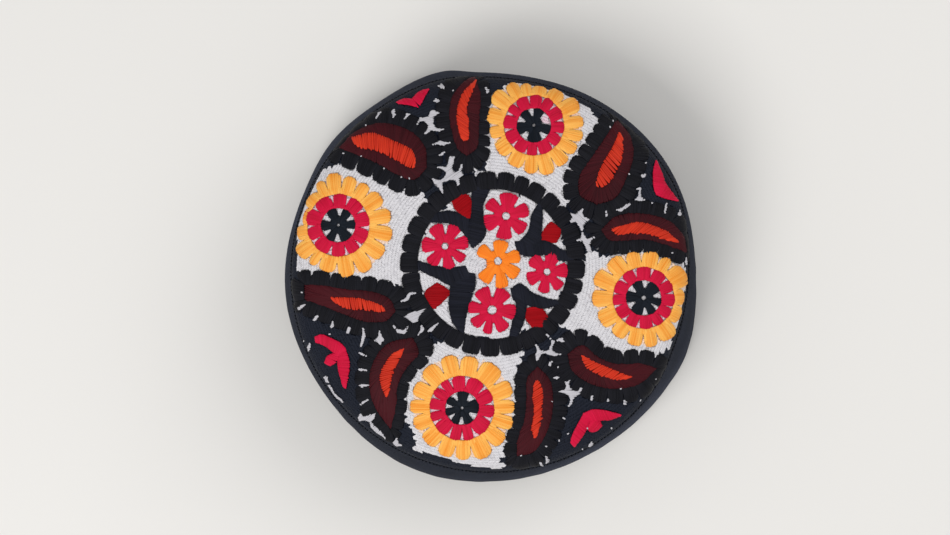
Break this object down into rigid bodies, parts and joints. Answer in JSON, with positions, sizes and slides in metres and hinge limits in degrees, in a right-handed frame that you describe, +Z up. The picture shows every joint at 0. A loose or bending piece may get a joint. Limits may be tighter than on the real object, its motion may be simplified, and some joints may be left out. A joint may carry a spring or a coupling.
{
  "type": "tubeteika skullcap",
  "caption": "Round low skullcap with a densely embroidered, slightly domed crown and a plain dark velvet side band, standing on its hem.",
  "frame": {"origin": "middle of the footprint, at the foot of the hem", "axes": "+Z up through the crown's apex, +X to the right and +Y to the top of the picture"},
  "size_m": [0.1842, 0.1842, 0.0713],
  "materials": {
    "white_cotton": "matte",
    "navy_velvet": "matte",
    "black_silk": "satin",
    "marigold_silk": "satin",
    "orange_silk": "satin",
    "crimson_silk": "satin",
    "dark_red_silk": "satin",
    "vermilion_silk": "satin",
    "maroon_silk": "satin"
  },
  "bodies": {
    "root": {"crown": "white_cotton", "side_band": "navy_velvet"}
  },
  "joints": []
}
